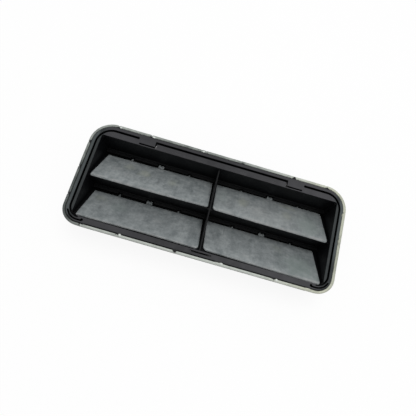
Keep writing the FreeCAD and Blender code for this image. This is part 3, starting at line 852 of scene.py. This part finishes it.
def seal_tree():
    """A closed section carried round a closed path, wider on some sides than on others."""
    tree = bpy.data.node_groups.new("Seal ring", "GeometryNodeTree")
    kinds = {
        "Path": "Object", "Section": "Object", "Steps round": "Int", "Steps across": "Int",
        "Wobble": "Float", "Seed": "Float", "Material": "Material",
    }
    kinds.update({f"{label} {side}": "Float" for side in SIDES for label in BY_SIDE})
    tree.interface.new_socket("Geometry", in_out="OUTPUT", socket_type="NodeSocketGeometry")
    for label, kind in kinds.items():
        tree.interface.new_socket(label, in_out="INPUT", socket_type="NodeSocket" + kind)
    nodes = Nodes(tree)
    given = nodes.add("NodeGroupInput").outputs
    result = nodes.add("NodeGroupOutput").inputs
    inputs = {"Size X": 1.0, "Size Y": 1.0, "Vertices X": given["Steps round"], "Vertices Y": given["Steps across"]}
    grid = nodes.add("GeometryNodeMeshGrid", inputs).outputs["Mesh"]
    spot = nodes.split(nodes.add("GeometryNodeInputPosition").outputs[0])
    round_share = nodes.plus(spot["X"], 0.5, clamp=True)
    across_share = nodes.plus(spot["Y"], 0.5, clamp=True)
    samples = []
    for label, share in (("Path", round_share), ("Section", across_share)):
        curve = nodes.add("GeometryNodeObjectInfo", {"Object": given[label]}).outputs["Geometry"]
        sample = nodes.add(
            "GeometryNodeSampleCurve", {"Curves": curve, "Factor": share},
            mode="FACTOR", use_all_curves=True, data_type="FLOAT",
        )
        samples.append(sample.outputs)
    path, section = samples
    outward = nodes.vector("NORMALIZE", nodes.vector("CROSS_PRODUCT", path["Tangent"], (0.0, 0.0, 1.0)))
    facing = nodes.split(outward)
    totals = dict.fromkeys(BY_SIDE, 0.0)
    for side, (axis, sign) in SIDES.items():
        part = nodes.larger(nodes.times(facing[axis], sign), 0.0)
        part = nodes.times(part, part)
        for label in totals:
            totals[label] = nodes.plus(nodes.times(part, given[f"{label} {side}"]), totals[label])
    width = totals["Width"]
    sides = nodes.split(section["Position"])
    slow = nodes.vector("ADD", path["Position"], nodes.add("ShaderNodeCombineXYZ", {"Z": given["Seed"]}).outputs[0])
    wave = nodes.noise(slow, SEAL_WAVE_SCALE, 3.0, 0.5)
    wave = nodes.times(nodes.minus(wave, 0.5), given["Wobble"])
    width = nodes.plus(width, wave)
    crown = nodes.fade(sides["Y"], SEAL_CROWN)
    reach = nodes.times(sides["X"], width)
    reach = nodes.minus(reach, nodes.times(crown, totals["Overlap"]))
    out = nodes.scaled(outward, reach)
    dips = nodes.noise(slow, SEAL_DIP_SCALE, 2.0, 0.5)
    bulge = nodes.larger(sides["X"], 0.0)
    dips = nodes.times(nodes.minus(dips, DIP_LEVEL), given["Wobble"])
    height = nodes.plus(sides["Y"], nodes.times(dips, bulge))
    height = nodes.plus(height, nodes.times(crown, totals["Rise"]))
    up = nodes.add("ShaderNodeCombineXYZ", {"Z": height}).outputs[0]
    place = nodes.vector("ADD", nodes.vector("ADD", path["Position"], out), up)
    shell = nodes.add("GeometryNodeSetPosition", {"Geometry": grid, "Position": place}).outputs[0]
    inputs = {"Geometry": shell, "Distance": JOIN_DISTANCE * MM}
    shell = nodes.add("GeometryNodeMergeByDistance", inputs).outputs[0]
    shell = nodes.add("GeometryNodeRealizeInstances", {"Geometry": shell}).outputs[0]
    shell = nodes.add("GeometryNodeSetMaterial", {"Geometry": shell, "Material": given["Material"]}).outputs[0]
    tree.links.new(shell, result["Geometry"])
    return tree


def set_inputs(modifier, values):
    for item in modifier.node_group.interface.items_tree:
        if item.item_type == "SOCKET" and item.in_out == "INPUT" and item.name in values:
            modifier[item.identifier] = values[item.name]


def near_place(place, spot, way):
    """How far a place lies out of the flange's edge at a spot, and how far beside it."""
    away = (place.x - spot[0]) * way[0] + (place.y - spot[1]) * way[1]
    beside = (place.x - spot[0]) * -way[1] + (place.y - spot[1]) * way[0]
    return away, beside


def tear_seal(mesh):
    """Raises the tufts over the flange's edge and lowers the seal in its cracks."""
    for vertex in mesh.vertices:
        place = vertex.co / MM
        if place.z < TORN_FROM:
            continue
        top = smooth((place.z - TUFT_FROM) / TUFT_BAND)
        for spot, way, half, reach, rise in TUFTS:
            away, beside = near_place(place, spot, way)
            if TUFT_REACH[0] < away < TUFT_REACH[1] and abs(beside) < half:
                round_off = (1 - (beside / half) ** 2) ** TUFT_ROUNDNESS
                share = round_off * top * smooth((TUFT_OUT - away) / TUFT_FADE)
                vertex.co += Vector((-way[0] * reach * share, -way[1] * reach * share, rise * share)) * MM
        for spot, way, slant, half, depth in CRACKS:
            away, beside = near_place(place, spot, way)
            near = abs(beside - slant * away) / half
            if CRACK_REACH[0] < away < CRACK_REACH[1] and near < 1.0:
                vertex.co.z -= depth * (1 - near) * MM


# Properties
def tint(name, description, *shade):
    """Property that holds a colour."""
    return bpy.props.FloatVectorProperty(name=name, description=description, subtype="COLOR", default=shade)


def fraction(name, description, default, low=0.0):
    """Property that holds a share, up to 1."""
    return bpy.props.FloatProperty(
        name=name, description=description, subtype="FACTOR", default=default, min=low, max=1.0
    )


def distance(name, description, default=0.0, low=-20.0):
    """Property that holds a length; given here in millimetres and kept in metres."""
    return bpy.props.FloatProperty(
        name=name, description=description, subtype="DISTANCE", unit="LENGTH", precision=4,
        default=default * MM, min=low * MM,
    )


def four_distances(name, description, *millimetres):
    """Property that holds one length for each side of the seal."""
    return bpy.props.FloatVectorProperty(
        name=name, description=description + " on the left, right, top and bottom", unit="LENGTH", precision=4,
        size=len(millimetres), default=[value * MM for value in millimetres],
    )


class VentFinish(bpy.types.PropertyGroup):
    """Colours and surface values of the vent's three finishes."""

    plastic_deep: tint("Plastic", "Colour of clean black plastic", 0.003, 0.0033, 0.004)
    # Weathered greys of the front, part fading and part a painted sheen
    plastic_worn: tint("Worn plastic and sheen", "Colour of faded plastic", 0.094, 0.093, 0.101)
    plastic_worn_ends: tint("Worn ends and sheen", "Colour of faded plastic at the two ends", 0.067, 0.078, 0.08)
    plastic_roughness: fraction("Plastic roughness", "Middle roughness of the plastic", 0.5, 0.1)
    plastic_shine: fraction("Plastic shine", "Specular level of the plastic", 0.1)
    # Painted shade along the flange's outer edge, where the seal meets it
    rim_dirt: fraction("Rim shade", "Share of fading left along the flange's outer edge", 0.35)
    sheltered: fraction("Sheltered", "Share of fading left on the front between its two ends", 0.49)
    plastic_dust: fraction("Dust", "Share of dust on faces turned up", 0.02)
    dust_colour: tint("Dust colour", "Colour of the dust", 0.3, 0.29, 0.27)
    edge_round: distance("Edge rounding", "Rounding seen on moulded edges", 0.3, 0.0)
    rubber_dark: tint("Rubber, dark", "Darker shade of the flaps", 0.093, 0.11, 0.116)
    rubber_light: tint("Rubber, light", "Lighter shade of the flaps", 0.35, 0.377, 0.379)
    rubber_warm: tint("Rubber, stained", "Warm stain on the flaps", 0.285, 0.305, 0.255)
    rubber_green: tint("Rubber, green", "Greenish stain on the flaps", 0.195, 0.24, 0.225)
    # Dark marks, and painted shade over the lower flaps
    rubber_mark: tint("Rubber, marks and shade", "Dark marks and painted shade on the flaps", 0.1, 0.11, 0.115)
    # Pale free edge, part wear and part a painted highlight
    rim_wear: fraction("Rim wear and highlight", "Share of the pale rubbed free edge", 0.6)
    rim_colour: tint("Rim colour", "Colour of the rubbed free edge", 0.36, 0.365, 0.365)
    chalk_colour: tint("Chalk and light colour", "Colour of the bloom and of painted light", 0.38, 0.39, 0.385)
    rubber_roughness: fraction("Rubber roughness", "Middle roughness of the flaps", 0.62, 0.1)
    seal_light: tint("Seal, light", "Paler shade of the seal", 0.535, 0.57, 0.525)
    seal_cream: tint("Seal, cream", "Shade of its yellowed end", 0.56, 0.575, 0.46)
    seal_grey: tint("Seal, grey", "Greyer shade of the seal", 0.045, 0.056, 0.053)
    seal_torn: tint("Seal, torn", "Fresh shade of its torn bits", 0.75, 0.79, 0.75)
    seal_blotch: fraction("Seal blotches", "How much the stains darken the seal", 0.2)
    # Colour of dirt specks and of painted shade on the seal
    seal_dirt: tint("Seal dirt and shade", "Colour of dirt and painted shade on the seal", 0.12, 0.12, 0.1)
    seal_roughness: fraction("Seal roughness", "Middle roughness of the seal", 0.6, 0.1)


class FlapShape(bpy.types.PropertyGroup):
    """How one rubber flap is cut and how it has warped."""

    corner_left: distance("Left corner", "Radius of the left free corner", 1.2, 0.3)
    corner_right: distance("Right corner", "Radius of the right free corner", 2.5, 0.3)
    lift_left: distance("Left lift", "How far the left free corner stands off", 0.0, 0.0)
    lift_right: distance("Right lift", "How far the right free corner stands off", 0.0, 0.0)
    hang_left: distance("Left drop", "Drop of the upper edge at the left end")
    hang_right: distance("Right drop", "Drop of the upper edge at the right end")
    reach_left: distance("Left reach", "Extra length of the sheet at its left end")
    reach_right: distance("Right reach", "Extra length of the sheet at its right end")
    reach_bend: bpy.props.FloatProperty(
        name="Reach bend", description="How late the free edge turns towards its right end", default=1.0, min=0.5
    )
    bow: distance("Bow", "Arch of the free edge in the middle")
    top_left: distance("Upper left", "Sideways shift of the upper left corner")
    top_right: distance("Upper right", "Sideways shift of the upper right corner")
    foot_left: distance("Lower left", "Sideways shift of the lower left corner")
    foot_right: distance("Lower right", "Sideways shift of the lower right corner")
    ripple: distance("Ripple", "Height of the free edge's wave", 0.25, 0.0)
    ripple_start: bpy.props.FloatProperty(
        name="Ripple start", description="Where the wave begins", default=0.0, subtype="ANGLE"
    )


class VentSizes(bpy.types.PropertyGroup):
    """Sizes of the rubber pieces."""

    flap_thickness: distance("Flap thickness", "Thickness of the rubber sheet", 1.4, 0.5)
    flap_free_thickness: distance("Free edge", "Thickness of the sheet at its free edge", 1.1, 0.3)
    flap_edge: distance("Flap edge", "Rounding of the sheet's edges", 0.22, 0.05)
    tab_thickness: distance("Tab thickness", "Thickness of the tabs", 1.2, 0.3)
    seal_width: four_distances("Seal width", "How far the seal stands out", 2.45, 3.0, 2.8, 1.85)
    seal_overlap: four_distances("Seal overlap", "How far it lies over the flange's edge", -0.25, 0.5, -0.3, -0.15)
    seal_rise: four_distances("Seal rise", "Extra height of its crown", 0.3, 1.15, 0.3, 0.7)
    seal_wobble: distance("Seal wobble", "Unevenness of the old seal", 0.35, 0.0)
    seal_step: distance("Seal step", "Length of one step round the seal", 0.45, 0.2)


def in_millimetres(group):
    """Values of a property group as plain numbers, with its lengths turned into millimetres."""
    values = {}
    for name, item in group.bl_rna.properties.items():
        if item.type == "FLOAT" and not item.is_array:
            values[name] = getattr(group, name) / (MM if item.unit == "LENGTH" else 1.0)
    return SimpleNamespace(**values)


class VentLook(bpy.types.PropertyGroup):
    """Everything a user may change."""

    finish: bpy.props.PointerProperty(type=VentFinish)
    sizes: bpy.props.PointerProperty(type=VentSizes)
    flap_upper_left: bpy.props.PointerProperty(type=FlapShape)
    flap_upper_right: bpy.props.PointerProperty(type=FlapShape)
    flap_lower_left: bpy.props.PointerProperty(type=FlapShape)
    flap_lower_right: bpy.props.PointerProperty(type=FlapShape)


# How each flap is cut and hangs, in millimetres
FLAP_SHAPES = {
    "flap_upper_left": {
        "corner_left": 1.2, "corner_right": 1.6, "lift_right": 0.05, "ripple": 0.08,
        "hang_left": 3.2, "hang_right": 0.4, "reach_right": -1.9, "reach_bend": 2.2,
        "top_left": 0.8, "top_right": -0.25, "foot_left": -0.6, "foot_right": 0.75,
    },
    "flap_upper_right": {
        "corner_left": 3.2, "corner_right": 2.2, "lift_left": 0.3, "ripple": 0.15, "ripple_start": 1.5,
        "hang_left": 0.8, "reach_left": -0.3,
        "top_left": -0.15, "top_right": -0.5, "foot_left": 0.85, "foot_right": 0.7,
    },
    "flap_lower_left": {
        "corner_left": 1.2, "corner_right": 3.0, "lift_right": 0.2, "ripple": 0.15, "ripple_start": 2.6,
        "hang_left": 2.9, "hang_right": 1.2, "reach_left": -0.5, "reach_right": -0.7, "bow": 0.6,
        "top_left": 0.8, "top_right": -0.8, "foot_right": 1.0,
    },
    "flap_lower_right": {
        "corner_left": 4.0, "corner_right": 2.4, "ripple": 0.1, "ripple_start": 0.6,
        "hang_left": 0.9, "hang_right": 1.1, "reach_left": -1.8, "reach_right": 0.3,
        "top_left": -0.8, "top_right": -1.3, "foot_left": 0.9, "foot_right": 0.9,
    },
}


# Operators
class VENT_OT_finishes(bpy.types.Operator):
    """Makes the materials."""

    bl_idname = "vent.finishes"
    bl_label = "Make the finishes"

    def execute(self, context):
        finish = context.scene.vent_look.finish
        groups = {"blotches": blotches_group(), "grain": grain_group(), "dust": dust_group()}
        plastic_material(finish, groups)
        flap_material(finish, groups)
        seal_material(finish, groups)
        return {"FINISHED"}


class VENT_OT_housing(bpy.types.Operator):
    """Gives the moulded housing its finish."""

    bl_idname = "vent.housing"
    bl_label = "Finish the housing"

    def execute(self, context):
        housing = frame["nodes"]["housing"]
        housing.data.materials.clear()
        housing.data.materials.append(bpy.data.materials["Black moulded plastic"])
        return {"FINISHED"}


class VENT_OT_flaps(bpy.types.Operator):
    """Makes the four rubber flaps, each with its hanging tabs."""

    bl_idname = "vent.flaps"
    bl_label = "Make the flaps"

    def execute(self, context):
        look = context.scene.vent_look
        sizes = in_millimetres(look.sizes)
        for name, hinge in HINGES.items():
            shape = in_millimetres(getattr(look, name))
            low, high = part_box(name)
            x0, x1 = low[0] / MM, high[0] / MM
            mesh_data = bmesh.new()
            flap_sheet(mesh_data, hinge, shape, x0, x1, sizes)
            side_middle = -TAB_MIDDLE if name.endswith("left") else TAB_MIDDLE
            for offset, outline in ((0.0, CROWN), (-NUB_SPREAD, NUB), (NUB_SPREAD, NUB)):
                middle = side_middle + offset
                hang = flap_start(shape, (middle - x0) / (x1 - x0))
                flap_tab(mesh_data, hinge, middle, outline, sizes.tab_thickness, hang)
            piece = piece_from_bmesh(name + "_sheet", mesh_data)
            piece.data.materials.append(bpy.data.materials["Chalky grey rubber"])
            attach(piece, name)
            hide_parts(name)
        return {"FINISHED"}


class VENT_OT_seal(bpy.types.Operator):
    """Makes the soft seal round the flange."""

    bl_idname = "vent.seal"
    bl_label = "Make the seal"

    def execute(self, context):
        sizes = context.scene.vent_look.sizes
        outline = flange_path()
        length = sum((b - a).length for a, b in zip(outline, outline[1:] + outline[:1]))
        path = closed_curve("seal_path", [point * MM for point in outline])
        section = closed_curve("seal_section", [(share, height * MM) for share, height in SECTION])
        piece = bpy.data.objects.new("edge_seal", bpy.data.meshes.new("edge_seal"))
        context.scene.collection.objects.link(piece)
        modifier = piece.modifiers.new("Seal ring", "NODES")
        modifier.node_group = seal_tree()
        values = {
            "Path": path,
            "Section": section,
            "Steps round": int(length * MM / sizes.seal_step) + 1,
            "Steps across": SECTION_STEPS,
            "Wobble": sizes.seal_wobble,
            "Seed": SEAL_SEED,
            "Material": bpy.data.materials["Aged pale seal"],
        }
        for label in BY_SIDE:
            for side, value in zip(SIDES, getattr(sizes, "seal_" + label.lower())):
                values[f"{label} {side}"] = value
        set_inputs(modifier, values)
        bake(piece)
        for curve in (path, section):
            bpy.data.objects.remove(curve)
        tear_seal(piece.data)
        mesh_data = bmesh.new()
        mesh_data.from_mesh(piece.data)
        fill_mesh(piece.data, mesh_data)
        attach(piece, "housing")
        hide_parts("seal")
        return {"FINISHED"}


# Half the floor's width, how bright floor and surroundings are, and the lamp above, in metres and watts
FLOOR_HALF = 3.0
FLOOR_GREY, FLOOR_PALE = (0.93, 0.93, 0.93), (0.96, 0.96, 0.96)
FLOOR_GLOW = 0.9
WHITE = (1.0, 1.0, 1.0, 1.0)
WORLD_LIGHT = 0.55
LAMP_PLACE = (0.06, 0.12, 0.9)
LAMP_WIDTH = 0.5
LAMP_WATTS = 4.0


class VENT_OT_stage(bpy.types.Operator):
    """Makes the floor, the light and the camera."""

    bl_idname = "vent.stage"
    bl_label = "Make the stage"

    def execute(self, context):
        scene = context.scene
        mesh_data = bmesh.new()
        bmesh.ops.create_grid(mesh_data, x_segments=1, y_segments=1, size=FLOOR_HALF)
        floor = piece_from_bmesh("floor", mesh_data)
        floor.data.materials.append(floor_material())
        surround(scene)
        overhead_lamp(scene)
        scene.view_settings.view_transform = "Standard"
        place_camera(scene)
        return {"FINISHED"}


def seen_directly(nodes):
    """1 where the camera sees a surface itself, in a reflection or through glass."""
    rays = nodes.add("ShaderNodeLightPath").outputs
    mirrored = nodes.larger(rays["Is Glossy Ray"], rays["Is Transmission Ray"])
    return nodes.larger(rays["Is Camera Ray"], mirrored)


def floor_material():
    """White floor that keeps the shadow: partly lit, partly bright by itself for the camera."""
    material, nodes, shader, place = start_material("Pale floor")
    tone = nodes.remap(nodes.noise(place, FLOOR_SCALE, 2.0), 0.3, 0.7)
    nodes.tree.links.new(nodes.mix(tone, FLOOR_GREY, FLOOR_PALE), shader.inputs["Base Color"])
    shader.inputs["Roughness"].default_value = 0.8
    glow = nodes.add("ShaderNodeEmission", {"Color": WHITE, "Strength": 1.0})
    share = nodes.times(seen_directly(nodes), FLOOR_GLOW)
    both = nodes.add("ShaderNodeMixShader", {0: share, 1: shader.outputs[0], 2: glow.outputs[0]})
    nodes.tree.links.new(both.outputs[0], nodes.tree.nodes["Material Output"].inputs["Surface"])
    return material


def surround(scene):
    """Even light from all round, behind which the camera sees plain white."""
    world = bpy.data.worlds.new("Studio")
    scene.world = world
    world.use_nodes = True
    nodes = Nodes(world.node_tree)
    light = world.node_tree.nodes["Background"]
    light.inputs["Color"].default_value = WHITE
    light.inputs["Strength"].default_value = WORLD_LIGHT
    seen = nodes.add("ShaderNodeBackground", {"Color": WHITE, "Strength": 1.0})
    both = nodes.add(
        "ShaderNodeMixShader", {0: seen_directly(nodes), 1: light.outputs[0], 2: seen.outputs[0]}
    )
    nodes.tree.links.new(both.outputs[0], nodes.tree.nodes["World Output"].inputs["Surface"])


def overhead_lamp(scene):
    """Round lamp that looks at the frame's origin."""
    data = bpy.data.lights.new("overhead", "AREA")
    data.shape = "DISK"
    data.size = LAMP_WIDTH
    data.energy = LAMP_WATTS
    lamp = bpy.data.objects.new("overhead", data)
    lamp.location = LAMP_PLACE
    lamp.rotation_euler = (-Vector(LAMP_PLACE)).to_track_quat("-Z", "Y").to_euler()
    scene.collection.objects.link(lamp)


# The photograph's view: camera place in millimetres, turn as a rotation vector, and focal length in pixels
CAMERA_PLACE = (-7.195, -88.585, 305.05)
CAMERA_TURN = (-0.299801, 0.064030, -0.275860)
FOCAL_PIXELS = 390.47
PICTURE_PIXELS = 416.0


def place_camera(scene):
    data = bpy.data.cameras.new("photo_view")
    data.sensor_width = 36.0
    data.lens = FOCAL_PIXELS / PICTURE_PIXELS * data.sensor_width
    data.clip_start = 0.01
    camera = bpy.data.objects.new("photo_view", data)
    turn = Vector(CAMERA_TURN)
    to_camera = Matrix.Rotation(turn.length, 3, turn.normalized())
    camera.matrix_world = Matrix.Translation(Vector(CAMERA_PLACE) * MM) @ to_camera.transposed().to_4x4()
    scene.collection.objects.link(camera)
    scene.camera = camera


class VENT_PT_panel(bpy.types.Panel):
    """Lists the vent's pieces and values in the sidebar."""

    bl_idname = "VENT_PT_panel"
    bl_label = "Rear air vent"
    bl_space_type = "VIEW_3D"
    bl_region_type = "UI"
    bl_category = "Rear air vent"

    def draw(self, context):
        look = context.scene.vent_look
        for operator in OPERATORS:
            self.layout.operator(operator.bl_idname)
        for group in (look.finish, look.sizes) + tuple(getattr(look, name) for name in FLAP_SHAPES):
            box = self.layout.box()
            for name in group.bl_rna.properties.keys():
                if name not in ("rna_type", "name"):
                    box.prop(group, name)


OPERATORS = (VENT_OT_finishes, VENT_OT_housing, VENT_OT_flaps, VENT_OT_seal, VENT_OT_stage)
CLASSES = (VentFinish, FlapShape, VentSizes, VentLook) + OPERATORS + (VENT_PT_panel,)


def register():
    for item in CLASSES:
        bpy.utils.register_class(item)
    bpy.types.Scene.vent_look = bpy.props.PointerProperty(type=VentLook)


def unregister():
    del bpy.types.Scene.vent_look
    for item in reversed(CLASSES):
        bpy.utils.unregister_class(item)


def main():
    register()
    look = bpy.context.scene.vent_look
    for name, values in FLAP_SHAPES.items():
        shape = getattr(look, name)
        for key, value in values.items():
            setattr(shape, key, value * MM if shape.bl_rna.properties[key].unit == "LENGTH" else value)
    bpy.ops.vent.finishes()
    bpy.ops.vent.housing()
    bpy.ops.vent.flaps()
    bpy.ops.vent.seal()
    bpy.ops.vent.stage()
    bpy.context.view_layer.update()


if __name__ == "__main__":
    main()
